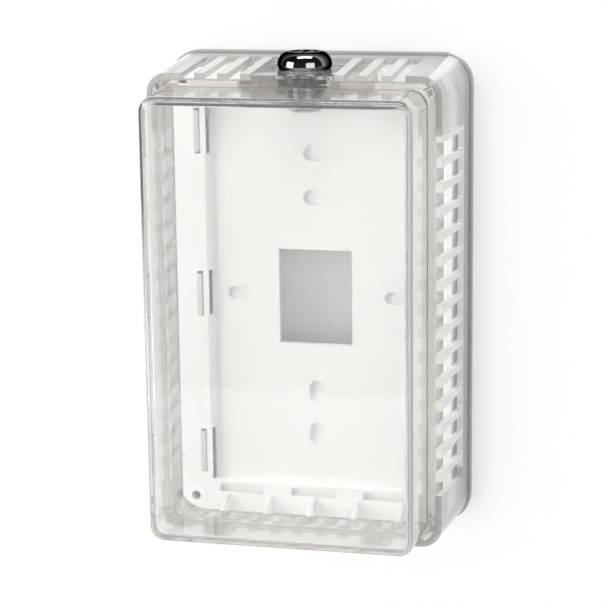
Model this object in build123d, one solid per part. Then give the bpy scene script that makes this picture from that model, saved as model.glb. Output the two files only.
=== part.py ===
from build123d import *
import math
import os

# A locking guard for a wall thermostat: a clear vented base ring screwed to the wall, an opaque
# wall plate clipped inside it, and a clear cover that hooks in at the bottom and locks at the top.
# Frame: X to the right, Y into the wall, Z up. The wall face is Y = 0, and the middle of that
# face is the origin, so everything in front of the wall has a negative Y. Millimetres, degrees.

# Base ring
BASE_WIDTH = 126.0
BASE_HEIGHT = 197.0
BASE_DEPTH = 50.0
BASE_CORNER = 12.0
BASE_WALL = 2.4
BASE_DRAFT = 4.25
REAR_BEAD_DEPTH = 3.0
REAR_BEAD_PROUD = 0.6
FLANGE_WIDTH = 16.0
FLANGE_THICKNESS = 2.5

# Vents: open-ended slots between the ribs of the base ring. The lower edge of a side slot drops
# towards the wall, more so past a knee; depths are measured off the wall.
SIDE_VENT_PITCH = 9.75
SIDE_VENT_MARGIN = 27.0
SIDE_VENT_SHIFT = -1.85
END_VENT_PITCH = 9.4
END_VENT_MARGIN = 18.0
TOP_VENTS_EACH_SIDE = 3
RIB_THICKNESS = 4.0
VENT_KNEE = 32.0
VENT_KNEE_DROP = 1.0
VENT_END = 14.4
VENT_END_DROP = 2.2
VENT_END_CUT = 1.2
END_VENT_BAND = 13.0

# Wall plate
PLATE_GAP = 0.5
PLATE_THICKNESS = 3.0
PLATE_FACE = 22.0
PLATE_CORNER = 12.0
LEDGE_SIDE = 14.5
LEDGE_END = 13.0
PANEL_CORNER = 2.0
PANEL_RECESS = 4.0
PANEL_COVE = 3.6
SKIRT_PLATE_THICKNESS = 2.0
SKIRT_PLATE_STOP = 3.0
PATTERN_X = 1.2
WIRE_OPENING_WIDTH = 30.8
WIRE_OPENING_HEIGHT = 40.0
WIRE_OPENING_Z = -0.75
BOX_SLOT_SPACING = 81.8
OUTER_SLOT_SPACING = 118.6
CROSS_SLOT_SPACING = 66.4
BOX_SLOT_LENGTH = 9.6
BOX_SLOT_WIDTH = 6.2
CROSS_SLOT_LENGTH = 8.4
CROSS_SLOT_WIDTH = 5.6
KNOCKOUT_DEPTH = 2.0
GUSSET_THICKNESS = 1.8
GUSSET_MARGIN = 20.0
GUSSET_RISE = 8.0
GUSSET_REACH = 12.0

# Corner screw holes, through bosses of the wall plate that stand on the flange of the ring
SCREW_INSET_X = 7.5
SCREW_INSET_Z = 6.0
SCREW_HOLE = 3.9
BOSS_DIAMETER = 8.0
BOSS_RIM_DIAMETER = 8.8
BOSS_RIM_PROUD = 0.4

# Clips that stand on the base flange and pass through the ledge of the plate
CLIP_LENGTH = 17.0
CLIP_THICKNESS = 1.7
CLIP_PROUD = 1.0
CLIP_GAP = 0.45
CLIP_END_GAP = 1.0
CLIP_LEDGE_INSET = 3.1
CLIP_FROM_CORNER = 13.0
PAD_REACH = 0.5
PAD_LIP = 1.0
PAD_UNDERCUT = 2.0
POCKET_WIDTH = 3.4
POCKET_DEPTH = 2.4

# Cover
FRONT_DEPTH = 28.0
FRONT_CORNER = 7.0
FRONT_DRAFT = 2.4
COVER_WALL = 2.4
COVER_FACE = 2.6
FRONT_ROUND = 2.0
FRONT_INNER_ROUND = 1.2
SHOULDER_PROUD = 3.0
SHOULDER_LIP = 0.45
SHOULDER_STEP = 2.5
COVER_GAP = 0.35
COVER_SKIRT_WALL = 2.2
SIDE_SKIRT_EXTRA = 5.5
SWING_GAP = 0.2

# Lock tongue of the cover, its notch in the base ring, and the keeper behind which the cam turns
TONGUE_WIDTH = 32.0
TONGUE_THICKNESS = 2.6
TONGUE_SEAT_THICKNESS = 1.6
TONGUE_POCKET_DIAMETER = 22.0
TONGUE_GAP = 0.7
TONGUE_BEHIND_LOCK = 14.5
TONGUE_WEB_THICKNESS = 2.0
TONGUE_WEB_DROP = 6.0
NUT_ROOM = 1.0
KEEPER_WIDTH = 13.5
KEEPER_THICKNESS = 2.2
KEEPER_GAP = 0.3
KEEPER_SKIRT_GAP = 0.5
KEEPER_OVERLAP = 0.5
CAM_POCKET_SIDE = 3.5
CAM_POCKET_GAP = 0.5

# Hinge at the bottom edge: bars between ears of the base ring, hooks on the cover
HINGE_BAR_DIAMETER = 3.0
HINGE_BAR_GAP = 0.08
HINGE_HOOK_WALL = 1.5
HINGE_HOOK_WIDTH = 6.4
HINGE_DROP = 0.8
HINGE_FORWARD_GAP = 0.3
HINGE_EAR_THICKNESS = 2.0
HINGE_VENTS_FROM_END = 1

# Lock
LOCK_BEHIND_FRONT = 22.0
HEAD_DIAMETER = 22.0
HEAD_HEIGHT = 7.0
HEAD_WIDEST = 1.4
HEAD_SEAT_DIAMETER = 20.6
HEAD_FLAT_DIAMETER = 13.4
BARREL_DIAMETER = 14.4
BARREL_FLATS = 12.8
BARREL_LENGTH = 10.6
BARREL_GAP = 0.1
PLUG_DIAMETER = 10.84
PLUG_GAP = 0.08
PLUG_SINK = 0.3
PLUG_SHOULDER = 1.0
PLUG_TAIL_SQUARE = 6.6
SCALP_THICKNESS = 0.4
KEYWAY_WIDTH = 2.0
KEYWAY_HEIGHT = 7.6
KEYWAY_END = 9.4
TUMBLER_COUNT = 5
TUMBLER_PITCH = 1.9
TUMBLER_FIRST = 1.4
TUMBLER_THICKNESS = 0.9
TUMBLER_SLOT = 1.2
TUMBLER_WIDTH = 7.0
TUMBLER_SIDE_GAP = 0.1
TUMBLER_EDGE_GAP = 0.15
TUMBLER_WINDOW_WIDTH = 2.8
TUMBLER_WINDOW_HEIGHT = 4.6
TUMBLER_WINDOW_STEP = 0.3
SPRING_DIAMETER = 1.0
SPRING_WIRE = 0.2
SPRING_TURNS = 7
SPRING_POCKET = 1.4
SPRING_SEAT = 3.3
SPRING_END_GAP = 0.1
TUMBLER_EAR_HEIGHT = 1.2
CHAMBER_WIDTH = 2.6
CHAMBER_DEPTH = 1.0
CLIP_RING_THICKNESS = 0.6
CLIP_RING_GROOVE = 0.9
CLIP_RING_GAP = 0.1
CLIP_RING_DIAMETER = 13.6
CLIP_RING_MOUTH = 6.0
STOP_WASHER_DIAMETER = 13.6
STOP_WASHER_THICKNESS = 0.9
STOP_WASHER_TAB = 2.4
CAM_THICKNESS = 2.0
CAM_WIDTH = 9.0
CAM_WALL_GAP = 3.5
CAM_HUB_DIAMETER = 13.0
CAM_HOLE_GAP = 0.08
TAIL_SHORT = 0.2
SPRING_WASHER_DIAMETER = 9.0
SPRING_WASHER_THICKNESS = 0.7
SPRING_WASHER_SPLIT = 0.8
SCREW_DIAMETER = 4.0
SCREW_HEAD_ACROSS_FLATS = 11.5
SCREW_HEAD_HEIGHT = 1.6
SCREW_HEAD_CHAMFER = 0.3
SCREW_LENGTH = 4.4
SCREW_END_GAP = 0.3
SCREW_GAP = 0.1
STAR_WASHER_DIAMETER = 18.6
STAR_WASHER_THICKNESS = 0.6
STAR_WASHER_TEETH = 12
STAR_WASHER_TOOTH = 1.6
NUT_ACROSS_FLATS = 17.5
NUT_THICKNESS = 3.2

CUT = 1.0  # how far a cutting block runs past the face it opens


def draft_inset(depth):
    """How far the drafted sides of the base ring have come in, this far from the wall."""
    return depth * math.tan(math.radians(BASE_DRAFT))


def block(width, height, corner, near, far, draft=0.0):
    """A rounded block that starts with this section at Y = near and runs to Y = far."""
    side = 1 if far > near else -1
    plane = Plane(origin=(0, near, 0), x_dir=(1, 0, 0), z_dir=(0, side, 0))
    outline = plane * RectangleRounded(width, height, corner)
    return extrude(outline, amount=abs(far - near), taper=draft)


def base_block(inset, near_depth, far_depth):
    """The drafted block of the base ring, brought in by inset, between two depths off the wall."""
    shrink = inset + draft_inset(near_depth)
    return block(
        BASE_WIDTH - 2 * shrink,
        BASE_HEIGHT - 2 * shrink,
        BASE_CORNER - shrink,
        -near_depth,
        -far_depth,
        BASE_DRAFT,
    )


def span_box(x, y, z):
    """A box between the low and high values given for each axis."""
    lows = [min(pair) for pair in (x, y, z)]
    sizes = [abs(pair[1] - pair[0]) for pair in (x, y, z)]
    centre = [low + size / 2 for low, size in zip(lows, sizes)]
    return Pos(*centre) * Box(*sizes)


def y_bar(place, size_x, size_z, near, far):
    """A square bar along Y about a place in X and Z."""
    x, z = place
    return span_box(
        (x - size_x / 2, x + size_x / 2), (near, far), (z - size_z / 2, z + size_z / 2)
    )


def y_cylinder(x, z, radius, near, far):
    """A round bar along Y."""
    return Pos(x, (near + far) / 2, z) * Rot(90, 0, 0) * Cylinder(radius, abs(far - near))


def y_slot(x, z, length, width, near, far, upright=False):
    """An obround bar along Y, for cutting a slot."""
    plane = Plane(origin=(x, near, z), x_dir=(1, 0, 0), z_dir=(0, 1, 0))
    outline = plane * Rot(0, 0, 90 if upright else 0) * SlotOverall(length, width)
    return extrude(outline, amount=far - near)


def centred_row(count, pitch):
    """Places of count items in a row about zero."""
    return [(i - (count - 1) / 2) * pitch for i in range(count)]


def filled_row(length, margin, pitch):
    """Places about zero of as many items at this pitch as fit between two margins."""
    return centred_row(1 + int((length - 2 * margin) / pitch), pitch)


# Places worked out from the sizes above
base_inner_front_x = BASE_WIDTH / 2 - BASE_WALL - draft_inset(BASE_DEPTH)
base_inner_front_z = BASE_HEIGHT / 2 - BASE_WALL - draft_inset(BASE_DEPTH)
plate_inset = BASE_WALL + draft_inset(PLATE_FACE) + PLATE_GAP
plate_width = BASE_WIDTH - 2 * plate_inset
plate_height = BASE_HEIGHT - 2 * plate_inset
panel_width = plate_width - 2 * LEDGE_SIDE
panel_height = plate_height - 2 * LEDGE_END
screw_x = plate_width / 2 - SCREW_INSET_X
screw_z = plate_height / 2 - SCREW_INSET_Z
ledge_back = PLATE_FACE - PLATE_THICKNESS
panel_face = PLATE_FACE - PANEL_RECESS
panel_back = panel_face - PLATE_THICKNESS
shoulder_y = -(BASE_DEPTH + SHOULDER_PROUD)
front_y = shoulder_y - FRONT_DEPTH
cover_width = 2 * (base_inner_front_x - COVER_GAP)
cover_height = 2 * (base_inner_front_z - COVER_GAP)
cover_corner = BASE_CORNER - BASE_WALL - draft_inset(BASE_DEPTH) - COVER_GAP
front_width = cover_width + 2 * SHOULDER_LIP - 2 * SHOULDER_STEP
front_height = cover_height + 2 * SHOULDER_LIP - 2 * SHOULDER_STEP
lock_y = LOCK_BEHIND_FRONT - BASE_DEPTH
keeper_back_y = lock_y - CAM_WIDTH / 2 - KEEPER_GAP
keeper_front_y = keeper_back_y - KEEPER_THICKNESS
skirt_end_y = keeper_front_y - KEEPER_SKIRT_GAP
tongue_end_y = lock_y + TONGUE_BEHIND_LOCK
tongue_top = cover_height / 2 + TONGUE_THICKNESS
tongue_under = tongue_top - TONGUE_THICKNESS
hinge_hook_radius = HINGE_BAR_DIAMETER / 2 + HINGE_BAR_GAP + HINGE_HOOK_WALL
hinge_y = -BASE_DEPTH - hinge_hook_radius - HINGE_FORWARD_GAP
hinge_z = -cover_height / 2 - HINGE_DROP - HINGE_BAR_DIAMETER / 2
rim_swing = math.hypot(-BASE_DEPTH - hinge_y, base_inner_front_z - hinge_z)
tail_top = tongue_top - BARREL_LENGTH - PLUG_SHOULDER
cam_top = tail_top - STOP_WASHER_THICKNESS
cam_bottom = cam_top - CAM_THICKNESS
cam_reach = -lock_y - CAM_WALL_GAP
screw_seat_z = cam_bottom - SPRING_WASHER_THICKNESS
side_vent_gap = SIDE_VENT_PITCH - RIB_THICKNESS
end_vent_gap = END_VENT_PITCH - RIB_THICKNESS
top_vents = [
    side * (TONGUE_WIDTH / 2 + TONGUE_GAP + (i + 1) * END_VENT_PITCH - end_vent_gap / 2)
    for side in (-1, 1)
    for i in range(TOP_VENTS_EACH_SIDE)
]
side_vents = [
    SIDE_VENT_SHIFT + z for z in filled_row(BASE_HEIGHT, SIDE_VENT_MARGIN, SIDE_VENT_PITCH)
]
bottom_vents = filled_row(BASE_WIDTH, END_VENT_MARGIN, END_VENT_PITCH)


def side_vent(z):
    """One slot through the left and right walls, deepest near the wall."""
    half = side_vent_gap / 2
    outline = Polygon(
        (-BASE_DEPTH - CUT, -half),
        (-VENT_KNEE, -half - VENT_KNEE_DROP),
        (-VENT_END - VENT_END_CUT, -half - VENT_END_DROP),
        (-VENT_END, -half - VENT_END_DROP + VENT_END_CUT),
        (-VENT_END, half),
        (-BASE_DEPTH - CUT, half),
        align=None,
    )
    plane = Plane(origin=(-BASE_WIDTH, 0, z), x_dir=(0, 1, 0), z_dir=(1, 0, 0))
    return extrude(plane * outline, amount=2 * BASE_WIDTH)


def end_vent(x, z_side):
    """One straight slot through the top wall or the bottom wall."""
    half = end_vent_gap / 2
    return span_box(
        (x - half, x + half), (-BASE_DEPTH - CUT, -END_VENT_BAND), (0, z_side * BASE_HEIGHT)
    )


def clip_places():
    """Middle of each clip: three on each side of the panel."""
    x = panel_width / 2 + CLIP_LEDGE_INSET
    z = panel_height / 2 - CLIP_FROM_CORNER
    return [(side * x, row * z) for side in (-1, 1) for row in (-1, 0, 1)]


def pocket_places():
    """Middle of each of the three shallow pockets in the bottom ledge."""
    x = panel_width / 2 - CLIP_FROM_CORNER
    return [(row * x, -panel_height / 2 - CLIP_LEDGE_INSET) for row in (-1, 0, 1)]


def screw_places():
    """The four corner screw holes."""
    return [(x, z) for x in (-screw_x, screw_x) for z in (-screw_z, screw_z)]


def hinge_ear_places():
    """X of each pair of ears, inner ear first, standing on the two ribs beside one bottom slot."""
    slot = bottom_vents[-1 - HINGE_VENTS_FROM_END]
    ribs = [slot - END_VENT_PITCH / 2, slot + END_VENT_PITCH / 2]
    return [[side * x for x in ribs] for side in (-1, 1)]


def make_base_ring():
    """The clear ring on the wall: vented walls, rear flange, clips, keeper and hinge bars."""
    ring = base_block(0, 0, BASE_DEPTH)
    bead = block(
        BASE_WIDTH + 2 * REAR_BEAD_PROUD,
        BASE_HEIGHT + 2 * REAR_BEAD_PROUD,
        BASE_CORNER + REAR_BEAD_PROUD,
        0,
        -REAR_BEAD_DEPTH,
    )
    ring += bead
    ring -= base_block(BASE_WALL, FLANGE_THICKNESS, BASE_DEPTH + CUT)
    opening = BASE_WALL + FLANGE_WIDTH
    ring -= block(
        BASE_WIDTH - 2 * opening, BASE_HEIGHT - 2 * opening, BASE_WALL, CUT, -FLANGE_THICKNESS - CUT
    )
    ring -= [side_vent(z) for z in side_vents]
    ring -= [end_vent(x, -1) for x in bottom_vents]
    ring -= [end_vent(x, 1) for x in top_vents]
    notch = TONGUE_WIDTH / 2 + TONGUE_GAP
    notch_floor = BASE_HEIGHT / 2 - BASE_WALL - draft_inset(BASE_DEPTH) - CUT
    ring -= span_box(
        (-notch, notch), (-BASE_DEPTH - CUT, tongue_end_y + TONGUE_GAP), (notch_floor, BASE_HEIGHT)
    )
    for place in clip_places():
        ring += y_bar(place, CLIP_THICKNESS, CLIP_LENGTH, 0, -PLATE_FACE - CLIP_PROUD)
    ring += make_keeper()
    ring += make_hinge_bars()
    for x, z in screw_places():
        ring -= y_cylinder(x, z, SCREW_HOLE / 2, CUT, -FLANGE_THICKNESS - CUT)
    return ring


def make_keeper():
    """The plate that hangs from the top ribs, in front of the turned cam."""
    inner_x = TONGUE_WIDTH / 2 + TONGUE_GAP + KEEPER_OVERLAP
    depth = -keeper_back_y
    top_z = BASE_HEIGHT / 2 - BASE_WALL - draft_inset(depth) + KEEPER_OVERLAP
    return span_box(
        (inner_x, inner_x + KEEPER_WIDTH),
        (keeper_front_y, keeper_back_y),
        (cam_bottom - KEEPER_OVERLAP, top_z),
    )


def make_hinge_bars():
    """Two round bars in front of the bottom rim, each held by ears on two ribs."""
    bars = []
    radius = HINGE_BAR_DIAMETER / 2
    rim_z = -base_inner_front_z
    for inner, outer in hinge_ear_places():
        low, high = sorted((inner, outer))
        bars.append(
            Pos((low + high) / 2, hinge_y, hinge_z) * Rot(0, 90, 0) * Cylinder(radius, high - low)
        )
        for x in (low, high):
            half = HINGE_EAR_THICKNESS / 2
            round_end = Pos(x, hinge_y, hinge_z) * Rot(0, 90, 0) * Cylinder(radius, 2 * half)
            arm = span_box(
                (x - half, x + half),
                (hinge_y, -BASE_DEPTH + CUT),
                (min(hinge_z - radius, rim_z - BASE_WALL), hinge_z + radius),
            )
            bars += [round_end, arm]
    return bars


def make_wallplate():
    """The opaque plate: a ledge all round, a recessed panel, knockouts, skirts and gussets."""
    plate = block(plate_width, plate_height, PLATE_CORNER, -ledge_back, -PLATE_FACE)
    tray = 2 * PLATE_THICKNESS
    plate += block(panel_width + tray, panel_height + tray, PANEL_CORNER, -panel_back, -PLATE_FACE)
    plate -= block(panel_width, panel_height, PANEL_CORNER, -panel_face, -PLATE_FACE - CUT)
    plate += make_panel_coves()
    for side in (-1, 1):
        lip_x = (side * (panel_width / 2 - PAD_REACH), side * (panel_width / 2 + CUT))
        undercut_x = (side * (panel_width / 2 - CUT), side * (panel_width / 2 + PAD_UNDERCUT))
        for pad_z in pad_spans():
            plate += span_box(lip_x, (-PLATE_FACE, -PLATE_FACE + PAD_LIP), pad_z)
            plate -= span_box(undercut_x, (-PLATE_FACE + PAD_LIP, -panel_face), pad_z)
    plate += make_plate_skirts()
    plate += make_gussets()
    for x, z in screw_places():
        plate += y_cylinder(x, z, BOSS_DIAMETER / 2, -FLANGE_THICKNESS, -ledge_back)
        plate += y_cylinder(
            x, z, BOSS_RIM_DIAMETER / 2, -PLATE_FACE, -PLATE_FACE - BOSS_RIM_PROUD
        )
    cut_near, cut_far = -PLATE_FACE - CUT, -panel_back + CUT
    wire_place = (PATTERN_X, WIRE_OPENING_Z)
    plate -= y_bar(wire_place, WIRE_OPENING_WIDTH, WIRE_OPENING_HEIGHT, cut_near, cut_far)
    plate -= make_knockouts()
    for place in pocket_places():
        length = CLIP_LENGTH + 2 * CLIP_END_GAP
        plate -= y_bar(place, length, POCKET_WIDTH, cut_near, -PLATE_FACE + POCKET_DEPTH)
    for x, z in screw_places():
        plate -= y_cylinder(x, z, SCREW_HOLE / 2, cut_near, 0)
    for place in clip_places():
        thickness = CLIP_THICKNESS + 2 * CLIP_GAP
        plate -= y_bar(place, thickness, CLIP_LENGTH + 2 * CLIP_END_GAP, cut_near, cut_far)
    pocket_half = cam_reach + CAM_POCKET_SIDE
    return plate - span_box(
        (-pocket_half, pocket_half), (cut_near, 0), (cam_bottom - CAM_POCKET_GAP, BASE_HEIGHT)
    )


def pad_spans():
    """Z spans of the lips beside the clips: one in the middle, and one at each end to its corner."""
    half = CLIP_LENGTH / 2 + CLIP_END_GAP
    start = panel_height / 2 - CLIP_FROM_CORNER - half
    end = panel_height / 2 - PANEL_CORNER
    return [(-half, half), (start, end), (-end, -start)]


def make_panel_coves():
    """Hollow curves between the floor and the side walls of the recess, between the lips."""
    (_, low), (high, _), _ = pad_spans()
    half = panel_width / 2
    square = Pos(half - PANEL_COVE / 2, -panel_face - PANEL_COVE / 2) * Rectangle(
        PANEL_COVE, PANEL_COVE
    )
    outline = square - Pos(half - PANEL_COVE, -panel_face - PANEL_COVE) * Circle(PANEL_COVE)
    cove = extrude(outline, amount=high - low)
    coves = []
    for start in (low, -high):
        placed = Pos(0, 0, start) * cove
        coves += [placed, mirror(placed, about=Plane.YZ)]
    return coves


def make_knockouts():
    """Blind slots in the panel for the screws of a wall box, to be broken through when used."""
    floor = -panel_face + KNOCKOUT_DEPTH
    near = -PLATE_FACE - CUT
    slots = []
    for side in (-1, 1):
        for spacing in (BOX_SLOT_SPACING, OUTER_SLOT_SPACING):
            place = (PATTERN_X, side * spacing / 2)
            slots.append(y_slot(*place, BOX_SLOT_LENGTH, BOX_SLOT_WIDTH, near, floor, side < 0))
        place = (PATTERN_X + side * CROSS_SLOT_SPACING / 2, 0)
        slots.append(y_slot(*place, CROSS_SLOT_LENGTH, CROSS_SLOT_WIDTH, near, floor))
    return slots


def make_plate_skirts():
    """Straight walls behind the ledge that stiffen the plate and stand off the rear flange."""
    half_x, half_z = plate_width / 2, plate_height / 2
    end_x, end_z = screw_x - BOSS_DIAMETER, screw_z - BOSS_DIAMETER
    depth = (-ledge_back, -SKIRT_PLATE_STOP)
    skirts = []
    for side in (-1, 1):
        wall_x = (side * half_x, side * (half_x - SKIRT_PLATE_THICKNESS))
        wall_z = (side * half_z, side * (half_z - SKIRT_PLATE_THICKNESS))
        skirts.append(span_box(wall_x, depth, (-end_z, end_z)))
        skirts.append(span_box((-end_x, end_x), depth, wall_z))
    return skirts


def make_gussets():
    """Triangular fins on the bottom edge of the ledge, just behind the skirt of the cover."""
    bottom = -plate_height / 2
    tip_depth = PLATE_FACE + GUSSET_REACH
    tip_rise = draft_inset(tip_depth) - draft_inset(PLATE_FACE)
    outline = Polygon(
        (-PLATE_FACE, bottom),
        (-PLATE_FACE, bottom + GUSSET_RISE),
        (-tip_depth, bottom + tip_rise),
        align=None,
    )
    gussets = []
    for x in filled_row(plate_width, GUSSET_MARGIN, 2 * END_VENT_PITCH):
        plane = Plane(
            origin=(x - GUSSET_THICKNESS / 2, 0, 0), x_dir=(0, 1, 0), z_dir=(1, 0, 0)
        )
        gussets.append(extrude(plane * outline, amount=GUSSET_THICKNESS))
    return gussets


def make_cover():
    """The clear cover: front box, shoulder, skirt inside the base ring, tongue and hooks."""
    lip = 2 * SHOULDER_LIP
    front = block(front_width, front_height, FRONT_CORNER, shoulder_y, front_y, FRONT_DRAFT)
    front = fillet(front.faces().sort_by(Axis.Y)[0].edges(), FRONT_ROUND)
    shoulder = block(
        cover_width + lip, cover_height + lip, cover_corner + SHOULDER_LIP, shoulder_y, -BASE_DEPTH
    )
    cover = front + shoulder + make_cover_skirt()
    half = TONGUE_WIDTH / 2
    cover += span_box((-half, half), (shoulder_y, tongue_end_y), (tongue_under, tongue_top))
    cover += span_box((-half, half), (shoulder_y, skirt_end_y), (tongue_under - CUT, tongue_under))
    cover += make_hooks()
    side_z = cover_height / 2 - cover_corner
    for side in (-1, 1):
        side_x = (side * cover_width / 2, side * (cover_width / 2 - COVER_SKIRT_WALL))
        side_y = (skirt_end_y - CUT, skirt_end_y + SIDE_SKIRT_EXTRA)
        cover += span_box(side_x, side_y, (-side_z, side_z))
    narrow = (
        front_width - 2 * COVER_WALL,
        front_height - 2 * COVER_WALL,
        FRONT_CORNER - COVER_WALL,
    )
    shoulder_back_y = shoulder_y + COVER_SKIRT_WALL
    cavity = block(*narrow, shoulder_y, front_y + COVER_FACE, FRONT_DRAFT)
    cover -= fillet(cavity.faces().sort_by(Axis.Y)[0].edges(), FRONT_INNER_ROUND)
    cover -= block(*narrow, shoulder_y - CUT, shoulder_back_y + CUT)
    cover -= block(
        cover_width - 2 * COVER_SKIRT_WALL,
        cover_height - 2 * COVER_SKIRT_WALL,
        cover_corner - COVER_SKIRT_WALL,
        shoulder_back_y,
        skirt_end_y + CUT,
    )
    web_inner = half - TONGUE_WEB_THICKNESS
    web_z = (tongue_under - TONGUE_WEB_DROP, tongue_under)
    for side in (-1, 1):
        web_x = (side * half, side * web_inner)
        cover += span_box(web_x, (skirt_end_y - COVER_SKIRT_WALL, tongue_end_y), web_z)
    nut_room_y = (lock_y - STAR_WASHER_DIAMETER / 2 - NUT_ROOM, skirt_end_y + CUT)
    nut_room_z = (tongue_under - 2 * TONGUE_WEB_DROP, tongue_under)
    cover -= span_box((-web_inner, web_inner), nut_room_y, nut_room_z)
    pocket_depth = TONGUE_THICKNESS - TONGUE_SEAT_THICKNESS + CUT
    pocket = Cylinder(TONGUE_POCKET_DIAMETER / 2, pocket_depth)
    cover -= at_lock(Pos(0, 0, -TONGUE_SEAT_THICKNESS - pocket_depth / 2) * pocket)
    return cover - at_lock(barrel_shape(BARREL_GAP, BARREL_LENGTH + CUT, CUT))


def make_cover_skirt():
    """The skirt, trimmed to the circle in which it swings past the rim of the base ring."""
    skirt = block(cover_width, cover_height, cover_corner, -BASE_DEPTH, skirt_end_y)
    swing = Pos(0, hinge_y, hinge_z) * Rot(0, 90, 0) * Cylinder(rim_swing - SWING_GAP, BASE_WIDTH)
    return skirt & swing


def make_hooks():
    """Hooks under the shoulder that reach round the hinge bars."""
    hooks = []
    for inner, outer in hinge_ear_places():
        x = (inner + outer) / 2
        half = HINGE_HOOK_WIDTH / 2
        ring = Pos(x, hinge_y, hinge_z) * Rot(0, 90, 0) * (
            Cylinder(hinge_hook_radius, 2 * half)
            - Cylinder(HINGE_BAR_DIAMETER / 2 + HINGE_BAR_GAP, 2 * half)
        )
        mouth = span_box(
            (x - half, x + half),
            (hinge_y, hinge_y + 2 * hinge_hook_radius),
            (hinge_z - 2 * hinge_hook_radius, hinge_z),
        )
        hooks.append(ring - mouth)
    return hooks


def barrel_shape(gap, length, above=0.0):
    """The double-D barrel of the lock, from above its seat down to length, grown by gap."""
    body = Pos(0, 0, (above - length) / 2) * Cylinder(BARREL_DIAMETER / 2 + gap, length + above)
    flats = Pos(0, 0, (above - length) / 2) * Box(
        BARREL_FLATS + 2 * gap, BARREL_DIAMETER + 4 * gap, length + above
    )
    return body & flats


def at_lock(shape):
    """Moves a lock piece, made about its own seat and axis, to its place on the tongue."""
    return Pos(0, lock_y, tongue_top) * shape


def make_lock_housing():
    """Domed head and double-D barrel in one, bored for the plug, with two tumbler chambers."""
    bore = PLUG_DIAMETER / 2 + PLUG_GAP
    widest, flat, seat = HEAD_DIAMETER / 2, HEAD_FLAT_DIAMETER / 2, HEAD_SEAT_DIAMETER / 2
    dome = EllipticalCenterArc(
        (flat, HEAD_WIDEST), widest - flat, HEAD_HEIGHT - HEAD_WIDEST, arc_size=90
    )
    base = Polyline((flat, HEAD_HEIGHT), (0, HEAD_HEIGHT), (0, 0), (seat, 0), (widest, HEAD_WIDEST))
    head = revolve(Plane.XZ * make_face([*base.edges(), dome]), Axis.Z)
    housing = head + barrel_shape(0, BARREL_LENGTH)
    housing -= Pos(0, 0, (HEAD_HEIGHT - BARREL_LENGTH) / 2) * Cylinder(
        bore, HEAD_HEIGHT + BARREL_LENGTH + 2 * CUT
    )
    chamber = Box(CHAMBER_WIDTH, 2 * (bore + CHAMBER_DEPTH), BARREL_LENGTH)
    return at_lock(housing - Pos(0, 0, -BARREL_LENGTH / 2 - TUMBLER_FIRST / 2) * chamber)


def tumbler_level(index):
    """Height of one tumbler about the seat of the lock."""
    return -TUMBLER_FIRST - index * TUMBLER_PITCH


def make_lock_plug():
    """The turning plug: keyway, tumbler slots with spring pockets, clip groove and square tail."""
    radius = PLUG_DIAMETER / 2
    top = HEAD_HEIGHT - PLUG_SINK - SCALP_THICKNESS
    bottom = -BARREL_LENGTH - PLUG_SHOULDER
    tail = STOP_WASHER_THICKNESS + CAM_THICKNESS - TAIL_SHORT
    plug = Pos(0, 0, (top + bottom) / 2) * Cylinder(radius, top - bottom)
    plug += Pos(0, 0, bottom - tail / 2) * Box(PLUG_TAIL_SQUARE, PLUG_TAIL_SQUARE, tail)
    keyway_depth = top + KEYWAY_END
    plug -= Pos(0, 0, (top - KEYWAY_END) / 2) * Box(KEYWAY_WIDTH, KEYWAY_HEIGHT, keyway_depth)
    half_slot = TUMBLER_WIDTH / 2 + TUMBLER_SIDE_GAP
    for index in range(TUMBLER_COUNT):
        level = tumbler_level(index)
        z = (level - TUMBLER_SLOT / 2, level + TUMBLER_SLOT / 2)
        plug -= span_box((-half_slot, half_slot - SPRING_POCKET), (-radius, radius), z)
        plug -= span_box((half_slot - SPRING_POCKET, half_slot), (-radius, SPRING_SEAT), z)
    groove_z = -BARREL_LENGTH - PLUG_SHOULDER / 2
    groove = Cylinder(radius + CUT, CLIP_RING_THICKNESS + CLIP_RING_GAP)
    groove -= Cylinder(radius - CLIP_RING_GROOVE, CLIP_RING_THICKNESS + CLIP_RING_GAP)
    plug -= Pos(0, 0, groove_z) * groove
    bore_top = screw_seat_z - tongue_top + SCREW_LENGTH + SCREW_END_GAP
    bore_depth = bore_top - (bottom - tail)
    bore = Cylinder(SCREW_DIAMETER / 2 + SCREW_GAP, bore_depth)
    plug -= Pos(0, 0, bore_top - bore_depth / 2) * bore
    return at_lock(plug)


def make_plug_scalp():
    """The thin bright disc on the face of the plug, with the key slot."""
    top = HEAD_HEIGHT - PLUG_SINK
    disc = Cylinder(PLUG_DIAMETER / 2, SCALP_THICKNESS)
    disc -= Box(KEYWAY_WIDTH, KEYWAY_HEIGHT, SCALP_THICKNESS)
    return at_lock(Pos(0, 0, top - SCALP_THICKNESS / 2) * disc)


def make_tumbler(index):
    """One tumbler plate, drawn level with the plug as its key holds it."""
    half = TUMBLER_WIDTH / 2
    edge = PLUG_DIAMETER / 2 - TUMBLER_EDGE_GAP
    z = (-TUMBLER_THICKNESS / 2, TUMBLER_THICKNESS / 2)
    plate = span_box((-half, half - SPRING_POCKET), (-edge, edge), z)
    ear_low = SPRING_SEAT - spring_length() - 2 * SPRING_END_GAP
    ear_x = (half - SPRING_POCKET, half - TUMBLER_SIDE_GAP)
    plate += span_box(ear_x, (ear_low - TUMBLER_EAR_HEIGHT, ear_low), z)
    plate &= Cylinder(edge, TUMBLER_THICKNESS)
    window_y = (index - (TUMBLER_COUNT - 1) / 2) * TUMBLER_WINDOW_STEP
    plate -= Pos(0, window_y, 0) * Box(
        TUMBLER_WINDOW_WIDTH, TUMBLER_WINDOW_HEIGHT, TUMBLER_THICKNESS
    )
    return at_lock(Pos(0, 0, tumbler_level(index)) * plate)


def spring_length():
    """Length of a pressed tumbler spring."""
    return 2 * SPRING_SEAT - 2 * TUMBLER_EAR_HEIGHT


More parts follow.
